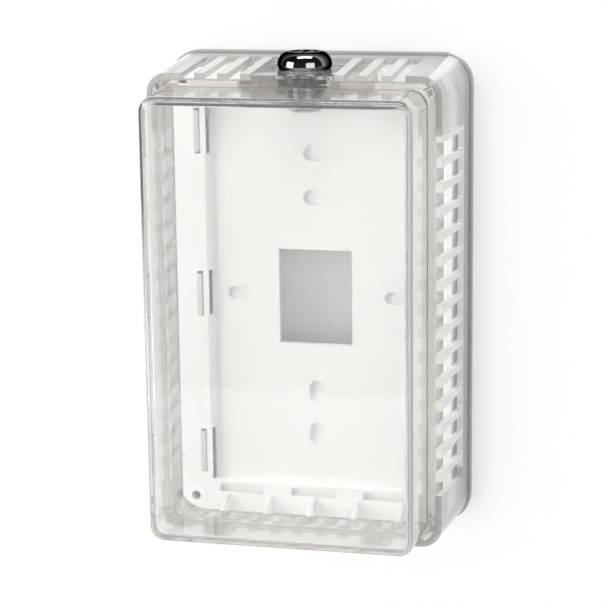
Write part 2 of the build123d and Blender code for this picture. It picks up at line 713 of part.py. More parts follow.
def make_tumbler_springs():
    """One coil spring beside each tumbler."""
    coil_radius = (SPRING_DIAMETER - SPRING_WIRE) / 2
    length = spring_length() - SPRING_WIRE
    path = Helix(length / SPRING_TURNS, length, coil_radius)
    wire = Plane(origin=path @ 0, z_dir=path % 0) * Circle(SPRING_WIRE / 2)
    spring = sweep(wire, path=path)
    x = TUMBLER_WIDTH / 2 + TUMBLER_SIDE_GAP - SPRING_POCKET / 2
    start = SPRING_SEAT - SPRING_END_GAP - SPRING_WIRE / 2
    springs = [
        Pos(x, start, tumbler_level(index)) * Rot(90, 0, 0) * spring
        for index in range(TUMBLER_COUNT)
    ]
    return at_lock(Compound(children=springs))


def make_plug_clip():
    """The open ring in the groove of the plug that keeps it in the housing."""
    inner = PLUG_DIAMETER / 2 - CLIP_RING_GROOVE + CLIP_RING_GAP
    ring = Cylinder(CLIP_RING_DIAMETER / 2, CLIP_RING_THICKNESS) - Cylinder(
        inner, CLIP_RING_THICKNESS
    )
    mouth = Pos(-CLIP_RING_DIAMETER / 2, 0, 0) * Box(
        CLIP_RING_DIAMETER, CLIP_RING_MOUTH, CLIP_RING_THICKNESS
    )
    return at_lock(Pos(0, 0, -BARREL_LENGTH - PLUG_SHOULDER / 2) * (ring - mouth))


def tail_hole(thickness):
    """The square hole that fits the tail of the plug."""
    side = PLUG_TAIL_SQUARE + 2 * CAM_HOLE_GAP
    return Box(side, side, thickness)


def make_stop_washer():
    """The washer on the square tail, whose tab limits the turn."""
    radius = STOP_WASHER_DIAMETER / 2
    washer = Cylinder(radius, STOP_WASHER_THICKNESS)
    washer += Pos(0, -radius, 0) * Box(
        STOP_WASHER_TAB, 2 * STOP_WASHER_TAB, STOP_WASHER_THICKNESS
    )
    washer -= tail_hole(STOP_WASHER_THICKNESS)
    z = -BARREL_LENGTH - PLUG_SHOULDER - STOP_WASHER_THICKNESS / 2
    return at_lock(Pos(0, 0, z) * washer)


def make_cam():
    """The flat latch arm, drawn turned back to open, towards the wall."""
    reach = cam_reach - CAM_WIDTH / 2
    arm = Pos(0, reach / 2, 0) * Box(CAM_WIDTH, reach, CAM_THICKNESS)
    arm += Pos(0, reach, 0) * Cylinder(CAM_WIDTH / 2, CAM_THICKNESS)
    arm += Cylinder(CAM_HUB_DIAMETER / 2, CAM_THICKNESS)
    arm -= tail_hole(CAM_THICKNESS)
    return Pos(0, lock_y, (cam_top + cam_bottom) / 2) * arm


def make_spring_washer():
    """The split washer under the head of the cam screw."""
    washer = Cylinder(SPRING_WASHER_DIAMETER / 2, SPRING_WASHER_THICKNESS)
    washer -= Cylinder(SCREW_DIAMETER / 2 + SCREW_GAP, SPRING_WASHER_THICKNESS)
    washer -= Pos(SPRING_WASHER_DIAMETER / 2, 0, 0) * Box(
        SPRING_WASHER_DIAMETER, SPRING_WASHER_SPLIT, SPRING_WASHER_THICKNESS
    )
    return Pos(0, lock_y, cam_bottom - SPRING_WASHER_THICKNESS / 2) * washer


def make_cam_screw():
    """The hexagon screw that holds the cam on the plug."""
    outline = RegularPolygon(SCREW_HEAD_ACROSS_FLATS / 2, 6, major_radius=False)
    head = extrude(outline, amount=-SCREW_HEAD_HEIGHT)
    head = chamfer(head.edges().group_by(Axis.Z)[0], SCREW_HEAD_CHAMFER)
    screw = head + Pos(0, 0, SCREW_LENGTH / 2) * Cylinder(SCREW_DIAMETER / 2, SCREW_LENGTH)
    return Pos(0, lock_y, screw_seat_z) * screw


def make_star_washer():
    """The toothed washer between the nut and the tongue."""
    radius = STAR_WASHER_DIAMETER / 2
    washer = Cylinder(radius, STAR_WASHER_THICKNESS)
    washer -= Cylinder(BARREL_DIAMETER / 2 + BARREL_GAP, STAR_WASHER_THICKNESS)
    notch = Box(2 * STAR_WASHER_TOOTH, STAR_WASHER_TOOTH, STAR_WASHER_THICKNESS)
    for index in range(STAR_WASHER_TEETH):
        turn = (index + 0.5) * 360 / STAR_WASHER_TEETH
        washer -= Rot(0, 0, turn) * Pos(radius, 0, 0) * notch
    z = -TONGUE_SEAT_THICKNESS - STAR_WASHER_THICKNESS / 2
    return at_lock(Pos(0, 0, z) * washer)


def make_lock_nut():
    """The hexagon nut that clamps the lock to the tongue."""
    outline = RegularPolygon(NUT_ACROSS_FLATS / 2, 6, major_radius=False)
    nut = extrude(outline, amount=NUT_THICKNESS)
    nut -= Pos(0, 0, NUT_THICKNESS / 2) * Cylinder(
        BARREL_DIAMETER / 2 + BARREL_GAP, NUT_THICKNESS
    )
    z = -TONGUE_SEAT_THICKNESS - STAR_WASHER_THICKNESS - NUT_THICKNESS
    return at_lock(Pos(0, 0, z) * nut)


nodes = {
    "base_ring": make_base_ring,
    "wallplate": make_wallplate,
    "cover": make_cover,
    "lock_housing": make_lock_housing,
    "lock_plug": make_lock_plug,
    "plug_scalp": make_plug_scalp,
    "tumbler_springs": make_tumbler_springs,
    "plug_clip": make_plug_clip,
    "stop_washer": make_stop_washer,
    "cam": make_cam,
    "spring_washer": make_spring_washer,
    "cam_screw": make_cam_screw,
    "star_washer": make_star_washer,
    "lock_nut": make_lock_nut,
}
os.makedirs("parts", exist_ok=True)
for name, make in nodes.items():
    export_step(make(), f"parts/{name}.step")
for number in range(TUMBLER_COUNT):
    export_step(make_tumbler(number), f"parts/tumbler_{number + 1}.step")
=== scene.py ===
"""Dressed model of a clear locking guard for a wall thermostat: stage, camera and finishes.

Places and sizes are in millimetres along the frame's own axes: X to the right, Y into the wall, Z up.
"""

import logging
import math
from dataclasses import dataclass
from enum import Enum
from typing import Sequence, Union

import bpy
from mathutils import Matrix, Vector

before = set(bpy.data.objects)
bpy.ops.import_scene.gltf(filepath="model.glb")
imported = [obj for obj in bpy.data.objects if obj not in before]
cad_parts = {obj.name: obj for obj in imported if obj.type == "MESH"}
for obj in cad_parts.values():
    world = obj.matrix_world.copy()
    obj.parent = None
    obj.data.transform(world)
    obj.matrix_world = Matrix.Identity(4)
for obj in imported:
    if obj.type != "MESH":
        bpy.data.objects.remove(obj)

LOG = logging.getLogger("guard")
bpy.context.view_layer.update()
MM = 0.001

Colour = tuple[float, float, float]
Triple = tuple[float, float, float]
Pair = tuple[float, float]
Span = tuple[float, float]
Socket = bpy.types.NodeSocket
Feed = Union[Socket, float, Sequence[float]]

RISE: Span = (0.0, 1.0)
FALL: Span = (1.0, 0.0)
NOISE_MIDDLE: Span = (0.35, 0.65)
WHITE: Colour = (1.0, 1.0, 1.0)
BLACK: Colour = (0.0, 0.0, 0.0)


class Finish(Enum):
    """The finishes of the guard, by the name of each material."""

    CLEAR_RING = "clear_ring"
    CLEAR_COVER = "clear_cover"
    WHITE = "white_plate"
    CHROME = "bright_chrome"
    CAST_ZINC = "cast_zinc"
    PLATED_STEEL = "plated_steel"
    DARK_STEEL = "dark_steel"
    SPRING_STEEL = "spring_steel"
    BRASS = "stamped_brass"


class Axis(Enum):
    """The axes of the frame, by the name of their output on a node."""

    X = "X"
    Y = "Y"
    Z = "Z"


FINISH_OF_NODE: dict[str, Finish] = {
    "base_ring": Finish.CLEAR_RING,
    "wallplate": Finish.WHITE,
    "cover": Finish.CLEAR_COVER,
    "lock_housing": Finish.CHROME,
    "plug_scalp": Finish.CHROME,
    "lock_plug": Finish.CAST_ZINC,
    "cam": Finish.PLATED_STEEL,
    "cam_screw": Finish.PLATED_STEEL,
    "stop_washer": Finish.PLATED_STEEL,
    "star_washer": Finish.PLATED_STEEL,
    "lock_nut": Finish.DARK_STEEL,
    "spring_washer": Finish.SPRING_STEEL,
    "tumbler_springs": Finish.SPRING_STEEL,
    "plug_clip": Finish.SPRING_STEEL,
    "tumbler_1": Finish.BRASS,
    "tumbler_2": Finish.BRASS,
    "tumbler_3": Finish.BRASS,
    "tumbler_4": Finish.BRASS,
    "tumbler_5": Finish.BRASS,
}


def rgba(colour: Colour) -> tuple[float, float, float, float]:
    """A colour with full alpha."""
    return (*colour, 1.0)


def grey(level: float) -> tuple[float, float, float, float]:
    """A grey of one level with full alpha."""
    return (level, level, level, 1.0)


class Graph:
    """Adds nodes to one node tree and joins them up."""

    MIX_FIRST = 6
    MIX_SECOND = 7
    MIX_RESULT = 2

    def __init__(self, tree: bpy.types.NodeTree) -> None:
        """Keeps the tree, emptied of what it starts with.

        Args:
            tree: the tree of a material, a world or a group.
        """
        self.tree = tree
        tree.nodes.clear()

    def node(self, kind: str, settings: dict | None = None, **inputs: Feed) -> bpy.types.Node:
        """Adds one node.

        Args:
            kind: the node's type without the ShaderNode prefix.
            settings: properties of the node to set.
            **inputs: what goes into each input, by its name with underscores for spaces, or by
                its place where the key is like i0.

        Returns:
            The new node.
        """
        made = self.tree.nodes.new("ShaderNode" + kind)
        for key, value in (settings or {}).items():
            setattr(made, key, value)
        for key, value in inputs.items():
            numbered = key[0] == "i" and key[1:].isdigit()
            self.feed(made.inputs[int(key[1:]) if numbered else key.replace("_", " ")], value)
        return made

    def feed(self, socket: Socket, value: Feed) -> None:
        """Links a socket or sets a plain value on an input.

        Args:
            socket: the input.
            value: an output socket, a number or a sequence.
        """
        if isinstance(value, Socket):
            self.tree.links.new(value, socket)
        else:
            socket.default_value = value

    def math(self, operation: str, first: Feed, second: Feed = 0.0) -> Socket:
        """Adds a Math node and returns its result."""
        return self.node("Math", {"operation": operation}, i0=first, i1=second).outputs[0]

    def product(self, *values: Feed) -> Socket:
        """Multiplies two or more values, from the first to the last.

        Args:
            *values: output sockets or numbers.

        Returns:
            The product.
        """
        result, *rest = values
        for value in rest:
            result = self.math("MULTIPLY", result, value)
        return result

    def largest(self, *values: Feed) -> Socket:
        """Finds the largest of two or more values.

        Args:
            *values: output sockets or numbers.

        Returns:
            The largest value.
        """
        result, *rest = values
        for value in rest:
            result = self.math("MAXIMUM", result, value)
        return result

    def ramp(self, value: Feed, span: tuple[Feed, Feed], to: Span = RISE) -> Socket:
        """Turns a value into another range and keeps it inside that range.

        Args:
            value: the value to read.
            span: the values at which the ramp starts and ends.
            to: what comes out at the start and at the end.

        Returns:
            The result.
        """
        made = self.node(
            "MapRange",
            Value=value,
            From_Min=span[0],
            From_Max=span[1],
            To_Min=to[0],
            To_Max=to[1],
        )
        return made.outputs["Result"]

    def mix_colour(self, factor: Feed, first: Feed, second: Feed) -> Socket:
        """Mixes two colours.

        Args:
            factor: the share of the second colour.
            first: the first colour.
            second: the second colour.

        Returns:
            The mixed colour.
        """
        made = self.node("Mix", {"data_type": "RGBA"}, i0=factor)
        self.feed(made.inputs[self.MIX_FIRST], first)
        self.feed(made.inputs[self.MIX_SECOND], second)
        return made.outputs[self.MIX_RESULT]

    def group(self, tree: bpy.types.NodeTree, **inputs: Feed) -> bpy.types.Node:
        """Adds a node of a shared group."""
        return self.node("Group", {"node_tree": tree}, **inputs)


class Spot:
    """Masks of where a shaded point lies on its object and of which way it faces."""

    def __init__(self, graph: Graph) -> None:
        """Adds the coordinates.

        Args:
            graph: the graph of a material.
        """
        self.graph = graph
        coordinates = graph.node("TexCoord")
        self.place = graph.node("SeparateXYZ", Vector=coordinates.outputs["Object"])
        self.normal = graph.node("SeparateXYZ", Vector=coordinates.outputs["Normal"])

    def along(self, axis: Axis, span: Span, to: Span = RISE) -> Socket:
        """A ramp over the place along an axis, in millimetres."""
        return self._ramp_mm(self.place.outputs[axis.value], span, to)

    def beside(self, axis: Axis, span: Span, to: Span = RISE, middle: float = 0.0) -> Socket:
        """A ramp over the distance from a middle along an axis.

        Args:
            axis: the axis.
            span: where the ramp starts and ends, in millimetres to either side.
            to: what comes out at the start and at the end.
            middle: the place of the middle, in millimetres.

        Returns:
            The mask.
        """
        off = self.graph.math("SUBTRACT", self.place.outputs[axis.value], middle * MM)
        return self._ramp_mm(self.graph.math("ABSOLUTE", off), span, to)

    def facing(self, axis: Axis, span: Span, to: Span = RISE) -> Socket:
        """A ramp over how squarely the surface faces along an axis, from 0 to 1."""
        square = self.graph.math("ABSOLUTE", self.normal.outputs[axis.value])
        return self.graph.ramp(square, span, to)

    def _ramp_mm(self, value: Socket, span: Span, to: Span) -> Socket:
        """A ramp over a length, with its span in millimetres."""
        return self.graph.ramp(value, (span[0] * MM, span[1] * MM), to)


@dataclass(frozen=True)
class Noise:
    """How fine and how rough a noise is."""

    detail: float
    rough: float

    def add(self, graph: Graph, place: Socket, scale: Feed) -> Socket:
        """Adds the noise to a graph.

        Args:
            graph: the graph.
            place: the coordinates to read.
            scale: how many bumps there are in a metre.

        Returns:
            The value of the noise, about one half.
        """
        made = graph.node(
            "TexNoise", Vector=place, Scale=scale, Detail=self.detail, Roughness=self.rough
        )
        return made.outputs[0]


@dataclass(frozen=True)
class Stroke:
    """One direction of handling marks: its turn in radians and its stretch along each axis."""

    turn: float
    stretch: Triple


@dataclass
class Effects:
    """Shader node groups that several finishes share."""

    cloud: Noise = Noise(3.0, 0.5)
    fine: Noise = Noise(4.0, 0.65)
    mark: Noise = Noise(2.0, 0.4)
    flow_line: Noise = Noise(3.0, 0.6)
    strokes: tuple[Stroke, ...] = (
        Stroke(0.6, (1.0, 30.0, 3.0)),
        Stroke(-0.9, (22.0, 1.0, 4.0)),
    )
    mark_start: float = 0.72
    mark_widening: float = 0.4
    mark_full: float = 0.8
    flow_squeeze: Triple = (0.06, 1.0, 0.06)

    def __post_init__(self) -> None:
        """Builds each group once."""
        self.grain = self._grain()
        self.scratches = self._scratches()
        self.flow = self._flow()

    @staticmethod
    def _new(
        name: str, inputs: dict[str, float], outputs: Sequence[str]
    ) -> tuple[Graph, bpy.types.Node, bpy.types.Node]:
        """Makes a group with nothing between its input and its output.

        Args:
            name: the group's name.
            inputs: name and first value of each input number.
            outputs: name of each output number.

        Returns:
            The group's graph, its input node and its output node.
        """
        tree = bpy.data.node_groups.new(name, "ShaderNodeTree")
        for key, value in inputs.items():
            made = tree.interface.new_socket(key, in_out="INPUT", socket_type="NodeSocketFloat")
            made.default_value = value
        for key in outputs:
            tree.interface.new_socket(key, in_out="OUTPUT", socket_type="NodeSocketFloat")
        graph = Graph(tree)
        return graph, tree.nodes.new("NodeGroupInput"), tree.nodes.new("NodeGroupOutput")

    def _grain(self) -> bpy.types.NodeTree:
        """Makes the moulding grain: a slow cloudy change and a fine grain, each about one half.

        Returns:
            The group's tree.
        """
        sizes = {"Cloud size": 40.0, "Grain size": 2500.0}
        graph, given, end = self._new("moulding_grain", sizes, ("Cloud", "Grain"))
        place = graph.node("TexCoord").outputs["Object"]
        cloud = self.cloud.add(graph, place, given.outputs["Cloud size"])
        fine = self.fine.add(graph, place, given.outputs["Grain size"])
        graph.feed(end.inputs["Cloud"], cloud)
        graph.feed(end.inputs["Grain"], fine)
        return graph.tree

    def _scratches(self) -> bpy.types.NodeTree:
        """Makes the handling marks: sparse thin lines in two directions.

        Returns:
            The group's tree.
        """
        given_values = {"Size": 90.0, "Share": 0.1}
        graph, given, end = self._new("handling_marks", given_values, ("Marks",))
        place = graph.node("TexCoord").outputs["Object"]
        widening = graph.math("MULTIPLY", given.outputs["Share"], self.mark_widening)
        start = graph.math("SUBTRACT", self.mark_start, widening)
        marks = []
        for stroke in self.strokes:
            turns = (stroke.turn, stroke.turn / 2, stroke.turn)
            turned = graph.node("Mapping", Vector=place, Rotation=turns, Scale=stroke.stretch)
            noise = self.mark.add(graph, turned.outputs[0], given.outputs["Size"])
            marks.append(graph.ramp(noise, (start, self.mark_full)))
        graph.feed(end.inputs["Marks"], graph.largest(*marks))
        return graph.tree

    def _flow(self) -> bpy.types.NodeTree:
        """Makes the flow lines of moulded walls: fine streaks across the direction of draw.

        Returns:
            The group's tree.
        """
        graph, given, end = self._new("flow_lines", {"Size": 900.0}, ("Lines",))
        place = graph.node("TexCoord").outputs["Object"]
        squeezed = graph.node("Mapping", Vector=place, Scale=self.flow_squeeze)
        noise = self.flow_line.add(graph, squeezed.outputs[0], given.outputs["Size"])
        graph.feed(end.inputs["Lines"], noise)
        return graph.tree


def new_material(name: str) -> tuple[bpy.types.Material, Graph]:
    """Makes a material with an empty graph.

    Args:
        name: the material's name.

    Returns:
        The material and its graph.
    """
    material = bpy.data.materials.new(name)
    material.use_nodes = True
    return material, Graph(material.node_tree)


@dataclass(frozen=True)
class ClearZones:
    """Where the parts of the clear walls lie, each span with a soft edge."""

    front: Span = (-76.5, -75.5)
    front_facing: Span = (0.85, 0.95)
    inner_round_start: Span = (0.1, 0.2)
    round_end: Span = (0.95, 0.99)
    inner_half_width: Span = (51.4, 51.8)
    inner_half_height: Span = (86.9, 87.3)
    inner_left: Span = (-50.0, -46.0)
    inner_right: Span = (46.0, 50.0)
    inner_height: Span = (-85.0, 0.0)
    left_round: Span = (-79.0, -78.6)
    left_round_start: Span = (0.5, 0.7)
    left_round_end: Span = (0.985, 0.999)
    left_round_side: Span = (-51.4, -51.0)
    left_round_height: Span = (-30.0, 50.0)
    right_round: Span = (-78.3, -77.3)
    right_round_side: Span = (50.6, 51.4)
    rib_side: Span = (53.2, 53.8)
    rib_side_height: Span = (71.2, 72.2)
    rib_end: Span = (88.2, 88.8)
    rib_end_width: Span = (44.4, 45.2)
    clip_half_width: Span = (49.0, 50.0)
    clip_half_height: Span = (79.5, 80.5)
    rib_front: Span = (-14.4, -13.6)
    skirt_side: Span = (53.5, 54.1)
    skirt_front: Span = (-48.9, -48.1)
    flank_facing: Span = (0.7, 0.9)
    flank_side: Span = (53.4, 54.2)
    root: Span = (-12.8, -11.2)
    root_half_width: Span = (58.2, 58.8)
    root_half_height: Span = (93.7, 94.3)
    foot: Span = (-90.0, -84.0)
    # Painted shade towards the right-hand side, away from the key lamp.
    painted_shade_side: Span = (40.0, 60.0)


@dataclass(frozen=True)
class ClearPlastic:
    """Clear moulded plastic: deeper in tone on the ribbed ring, near the wall and towards the bottom,
    frosted on vent faces, with painted shade, painted dark reflection stripes and a painted
    highlight.
    """

    name: str
    zones: ClearZones = ClearZones()
    window: Colour = (0.985, 0.985, 0.98)
    wall: Colour = (0.9, 0.885, 0.87)
    shade: Colour = (0.86, 0.84, 0.825)
    frost: Colour = (0.97, 0.965, 0.955)
    root: Colour = (0.66, 0.655, 0.635)
    foot: Colour = (0.74, 0.725, 0.71)
    # Painted shade on the cover's side skirts, seen through the ring's vents.
    painted_skirt_shade: Colour = (0.58, 0.57, 0.56)
    # Painted shade towards the right-hand side.
    painted_shade_side: Colour = (0.6, 0.585, 0.57)
    painted_shade_share: float = 0.0
    streak_colour: Colour = (0.3, 0.29, 0.285)
    streak: float = 0.1
    # Painted dark reflection stripes on the front's inner round and left outer round.
    painted_dark_line: Colour = (0.03, 0.03, 0.03)
    painted_line_share: float = 0.9
    painted_line_left: float = 0.3
    painted_line_right: float = 0.45
    painted_line_bottom: float = 0.15
    # Share of the painted pale highlight on the front's right outer round.
    painted_highlight_share: float = 0.5
    # Milky frosting of the ribs and clips; the same colour paints the highlight on the right outer
    # round.
    milk_and_highlight: Colour = (0.95, 0.945, 0.94)
    milk_share: float = 0.0
    milk_rough: float = 0.35
    end_share: float = 0.35
    ior: float = 1.49
    clarity: float = 0.94
    cloud_size: float = 22.0
    mark_size: float = 70.0
    mark_share: float = 0.12
    rough: Span = (0.012, 0.05)
    rough_clouds: Span = (0.3, 0.7)
    mark_rough: float = 0.12
    frost_rough: float = 0.42
    mark_height: float = 0.1
    bump: float = 0.05
    bump_depth: float = 2.0
    shadow: Colour = (0.95, 0.95, 0.945)

    def _window(self, spot: Spot) -> Socket:
        """The mask of the flat front of the cover."""
        zones = self.zones
        facing = spot.facing(Axis.Y, zones.front_facing)
        return spot.graph.product(facing, spot.along(Axis.Y, zones.front, FALL))

    def _inner_round(self, spot: Spot) -> Socket:
        """Finds the inner round between the cover's front and its sides, where a dark reflection is
        painted as a thin stripe.

        Args:
            spot: where the shaded point lies.

        Returns:
            The mask, weaker at the left, at the right and towards the bottom.
        """
        zones = self.zones
        return spot.graph.product(
            spot.along(Axis.Y, zones.front, FALL),
            spot.facing(Axis.Y, zones.inner_round_start),
            spot.facing(Axis.Y, zones.round_end, FALL),
            spot.beside(Axis.X, zones.inner_half_width, FALL),
            spot.beside(Axis.Z, zones.inner_half_height, FALL),
            spot.along(Axis.X, zones.inner_left, (self.painted_line_left, 1.0)),
            spot.along(Axis.X, zones.inner_right, (1.0, self.painted_line_right)),
            spot.along(Axis.Z, zones.inner_height, (self.painted_line_bottom, 1.0)),
        )

    def _left_round(self, spot: Spot) -> Socket:
        """Finds the outer round at the left of the cover's front, where a dark reflection is painted
        as a thin stripe.

        Args:
            spot: where the shaded point lies.

        Returns:
            The mask, fading downwards.
        """
        zones = self.zones
        return spot.graph.product(
            spot.along(Axis.Y, zones.left_round, FALL),
            spot.facing(Axis.Y, zones.left_round_start),
            spot.facing(Axis.Y, zones.left_round_end, FALL),
            spot.along(Axis.X, zones.left_round_side, FALL),
            spot.along(Axis.Z, zones.left_round_height),
        )

    def _right_round(self, spot: Spot) -> Socket:
        """Finds the outer round at the right of the cover's front, where a pale highlight is painted.

        Args:
            spot: where the shaded point lies.

        Returns:
            The mask.
        """
        zones = self.zones
        return spot.graph.product(
            spot.along(Axis.Y, zones.right_round, FALL),
            spot.facing(Axis.Y, zones.round_end, FALL),
            spot.along(Axis.X, zones.right_round_side),
        )

    def _ribs(self, spot: Spot) -> Socket:
        """Finds the combs of ribs, between the first and the last slot of each wall, and the clips.

        Args:
            spot: where the shaded point lies.

        Returns:
            The mask, weaker on the combs of the top and the bottom.
        """
        zones, graph = self.zones, spot.graph
        side = graph.product(
            spot.beside(Axis.X, zones.rib_side), spot.beside(Axis.Z, zones.rib_side_height, FALL)
        )
        end = graph.product(
            spot.beside(Axis.Z, zones.rib_end),
            spot.beside(Axis.X, zones.rib_end_width, FALL),
            self.end_share,
        )
        clips = graph.product(
            spot.beside(Axis.X, zones.clip_half_width, FALL),
            spot.beside(Axis.Z, zones.clip_half_height, FALL),
        )
        return graph.product(
            graph.largest(side, end, clips), spot.along(Axis.Y, zones.rib_front, FALL)
        )

    def _painted_skirt_shade_mask(self, spot: Spot) -> Socket:
        """The mask of the cover's side skirts, inside the ribs of the ring, where shade is painted.
        """
        side = spot.beside(Axis.X, self.zones.skirt_side)
        return spot.graph.product(side, spot.along(Axis.Y, self.zones.skirt_front))

    def _frost(self, spot: Spot) -> Socket:
        """The mask of the flanks of the side ribs."""
        flank = spot.facing(Axis.Z, self.zones.flank_facing)
        return spot.graph.product(flank, spot.beside(Axis.X, self.zones.flank_side))

    def _root(self, spot: Spot) -> Socket:
        """Finds the part of the ring near the wall, outside the wall plate.

        Args:
            spot: where the shaded point lies.

        Returns:
            The mask.
        """
        zones, graph = self.zones, spot.graph
        outside = graph.largest(
            spot.beside(Axis.X, zones.root_half_width), spot.beside(Axis.Z, zones.root_half_height)
        )
        return graph.product(spot.along(Axis.Y, zones.root), outside)

    def _colour(
        self, spot: Spot, cloud: Socket, streak: Socket, window: Socket, frost: Socket
    ) -> Socket:
        """Lays the tints of the clear walls over each other, painted shade among them.

        Args:
            spot: where the shaded point lies.
            cloud: the slow cloudy change.
            streak: the share of the flow lines.
            window: the mask of the cover's front.
            frost: the mask of the ribs' flanks.

        Returns:
            The colour that the plastic gives to light in it.
        """
        zones, graph = self.zones, spot.graph
        colour = graph.mix_colour(graph.ramp(cloud, NOISE_MIDDLE), rgba(self.wall), rgba(self.shade))
        # The far side and the side skirts get painted shade; the foot layer darkens towards the
        # bottom and the root layer near the wall.
        layers = (
            (spot.along(Axis.Z, zones.foot, FALL), self.foot),
            (spot.along(Axis.X, zones.painted_shade_side, (0.0, self.painted_shade_share)), self.painted_shade_side),
            (self._painted_skirt_shade_mask(spot), self.painted_skirt_shade),
            (streak, self.streak_colour),
            (window, self.window),
            (self._root(spot), self.root),
            (frost, self.frost),
        )
        for mask, tint in layers:
            colour = graph.mix_colour(mask, colour, rgba(tint))
        return colour

    def build(self, effects: Effects) -> bpy.types.Material:
        """Makes the material.

        Args:
            effects: the shared node groups.

        Returns:
            The new material.
        """
        material, graph = new_material(self.name)
        spot = Spot(graph)
        cloud = graph.group(effects.grain, Cloud_size=self.cloud_size).outputs["Cloud"]
        marks = graph.group(effects.scratches, Size=self.mark_size, Share=self.mark_share)
        marks = marks.outputs["Marks"]
        lines = graph.group(effects.flow).outputs["Lines"]
        streak = graph.ramp(lines, NOISE_MIDDLE, (self.streak, 0.0))
        window, frost = self._window(spot), self._frost(spot)

        rough = graph.ramp(cloud, self.rough_clouds, self.rough)
        rough = graph.math("ADD", rough, graph.product(marks, self.mark_rough))
        rough = graph.math("ADD", rough, graph.product(frost, self.frost_rough))
        height = graph.math("ADD", cloud, graph.product(marks, self.mark_height))
        ridges = graph.product(lines, graph.math("SUBTRACT", 1.0, window), self.streak)
        height = graph.math("ADD", height, ridges)
        bump = graph.node(
            "Bump", Height=height, Strength=self.bump, Distance=self.bump_depth * MM
        ).outputs[0]
        glass = graph.node(
            "BsdfPrincipled",
            Base_Color=self._colour(spot, cloud, streak, window, frost),
            Roughness=rough,
            IOR=self.ior,
            Transmission_Weight=self.clarity,
            Normal=bump,
        )

        # The rounds of the front get painted dark reflection stripes and a painted pale highlight,
        # and the ribs and clips their milky frosting, all as an opaque shader over the glass.
        dark = graph.largest(self._inner_round(spot), self._left_round(spot))
        opaque = graph.largest(
            graph.product(graph.largest(self._ribs(spot), frost), self.milk_share),
            graph.product(dark, self.painted_line_share),
            graph.product(self._right_round(spot), self.painted_highlight_share),
        )
        pale = graph.mix_colour(streak, rgba(self.milk_and_highlight), rgba(self.streak_colour))
        milk_and_highlight = graph.node(
            "BsdfPrincipled",
            Base_Color=graph.mix_colour(dark, pale, rgba(self.painted_dark_line)),
            Roughness=self.milk_rough,
            IOR=self.ior,
            Normal=bump,
        )
        body = graph.node("MixShader", i0=opaque, i1=glass.outputs[0], i2=milk_and_highlight.outputs[0])
        through = graph.node("BsdfTransparent", Color=rgba(self.shadow))
        shadow_ray = graph.node("LightPath").outputs["Is Shadow Ray"]
        mixed = graph.node(
            "MixShader", i0=shadow_ray, i1=body.outputs[0], i2=through.outputs[0]
        )
        graph.node("OutputMaterial", Surface=mixed.outputs[0])
        return material


@dataclass(frozen=True)
class PlateZones:
    """Where the parts of the wall plate lie, each span with a soft edge."""

    panel: Span = (-19.2, -18.2)
    # Painted shade on the plate's right-hand edge.
    painted_shade_right_edge: Span = (55.2, 56.2)
    # Painted shade in the hollows under the recess lips, beside the clip slots.
    undercut_shade_inner: Span = (42.6, 43.4)
    undercut_shade_outer: Span = (45.9, 46.1)
    undercut_shade_front: Span = (-21.1, -20.8)
    undercut_shade_back: Span = (-17.9, -17.7)
    undercut_shade_middle_height: Span = (9.3, 9.6)
    undercut_shade_end_height: Span = (58.3, 58.6)


@dataclass(frozen=True)
class WhitePlastic:
    """Opaque satin white plastic with a fine moulded grain, painted shade at its right-hand edge and
    under the recess lips.
    """

    name: str
    zones: PlateZones = PlateZones()
    colour: Colour = (0.9, 0.895, 0.888)
    shade: Colour = (0.875, 0.868, 0.856)
    panel: Colour = (0.85, 0.842, 0.834)
    # Painted shade in the hollows under the recess lips.
    painted_undercut_shade: Colour = (0.24, 0.23, 0.225)
    # Painted shade on the right-hand edge.
    edge: Colour = (0.8, 0.79, 0.78)
    cloud_size: float = 25.0
    grain_size: float = 2400.0
    rough: Span = (0.42, 0.56)
    ior: float = 1.5
    bump: float = 0.08
    bump_depth: float = 0.3

    def _painted_undercut_shade_mask(self, spot: Spot) -> Socket:
        """Finds where painted shade darkens the hollows under the lips of the recess, one beside each
        clip slot.

        Args:
            spot: where the shaded point lies.

        Returns:
            The mask.
        """
        zones, graph = self.zones, spot.graph
        heights = graph.largest(
            spot.beside(Axis.Z, zones.undercut_shade_middle_height, FALL),
            spot.beside(Axis.Z, zones.undercut_shade_end_height),
        )
        return graph.product(
            spot.beside(Axis.X, zones.undercut_shade_inner),
            spot.beside(Axis.X, zones.undercut_shade_outer, FALL),
            spot.along(Axis.Y, zones.undercut_shade_front),
            spot.along(Axis.Y, zones.undercut_shade_back, FALL),
            heights,
        )

    def build(self, effects: Effects) -> bpy.types.Material:
        """Makes the material.

        Args:
            effects: the shared node groups.

        Returns:
            The new material.
        """
        material, graph = new_material(self.name)
        spot = Spot(graph)
        grain = graph.group(
            effects.grain, Cloud_size=self.cloud_size, Grain_size=self.grain_size
        ).outputs
        cloud = graph.ramp(grain["Cloud"], NOISE_MIDDLE)
        colour = graph.mix_colour(cloud, rgba(self.colour), rgba(self.shade))
        # The last two layers are painted shade: at the right-hand edge and under the recess lips.
        layers = (
            (spot.along(Axis.Y, self.zones.panel), self.panel),
            (spot.along(Axis.X, self.zones.painted_shade_right_edge), self.edge),
            (self._painted_undercut_shade_mask(spot), self.painted_undercut_shade),
        )
        for mask, tint in layers:
            colour = graph.mix_colour(mask, colour, rgba(tint))
        bump = graph.node(
            "Bump", Height=grain["Grain"], Strength=self.bump, Distance=self.bump_depth * MM
        )
        shader = graph.node(
            "BsdfPrincipled",
            Base_Color=colour,
            Roughness=graph.ramp(grain["Grain"], NOISE_MIDDLE, self.rough),
            IOR=self.ior,
            Normal=bump.outputs[0],
        )
        graph.node("OutputMaterial", Surface=shader.outputs[0])
        return material


